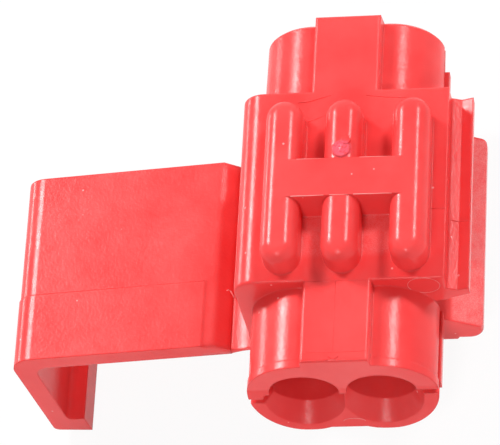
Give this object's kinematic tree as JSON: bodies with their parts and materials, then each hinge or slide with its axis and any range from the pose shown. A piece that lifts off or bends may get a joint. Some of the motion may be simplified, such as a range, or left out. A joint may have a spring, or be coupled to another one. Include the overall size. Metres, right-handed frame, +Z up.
{
  "type": "insulation displacement connector",
  "caption": "Moulded splice connector with parallel wire channels, a living-hinged snap cover and a pressed-in slotted metal contact.",
  "frame": {"origin": "bottom centre of the box of the open part, as it lies on its hook and its contact", "axes": "+Y along the wire channels, away from the scooped ports; +X away from the cover; +Z up, ribbed side up"},
  "size_m": [0.0308, 0.0226, 0.0147],
  "materials": {
    "moulding": "smooth moulded polypropylene",
    "contact_metal": "bright tin plating"
  },
  "bodies": {
    "body": {"insulator_body": "moulding", "living_hinge": "moulding"},
    "cover": {"hinged_cover": "moulding"},
    "contact": {"u_contact": "contact_metal"}
  },
  "joints": [
    {"name": "cover_hinge", "type": "hinge", "parent": "body", "child": "cover", "pos_m": [0.0009, 0.00038, 0.00599], "axis": [0, -1, 0], "range_deg": [0, 173.6], "deforming": ["living_hinge"]},
    {"name": "contact_press", "type": "slide", "parent": "body", "child": "contact", "axis": [0.3327, 0, 0.943], "range_m": [0, 0.0036]}
  ],
  "couplings": [
    {"joint": "contact_press", "follows": "cover_hinge", "m_per_rad": 0.0011881}
  ]
}
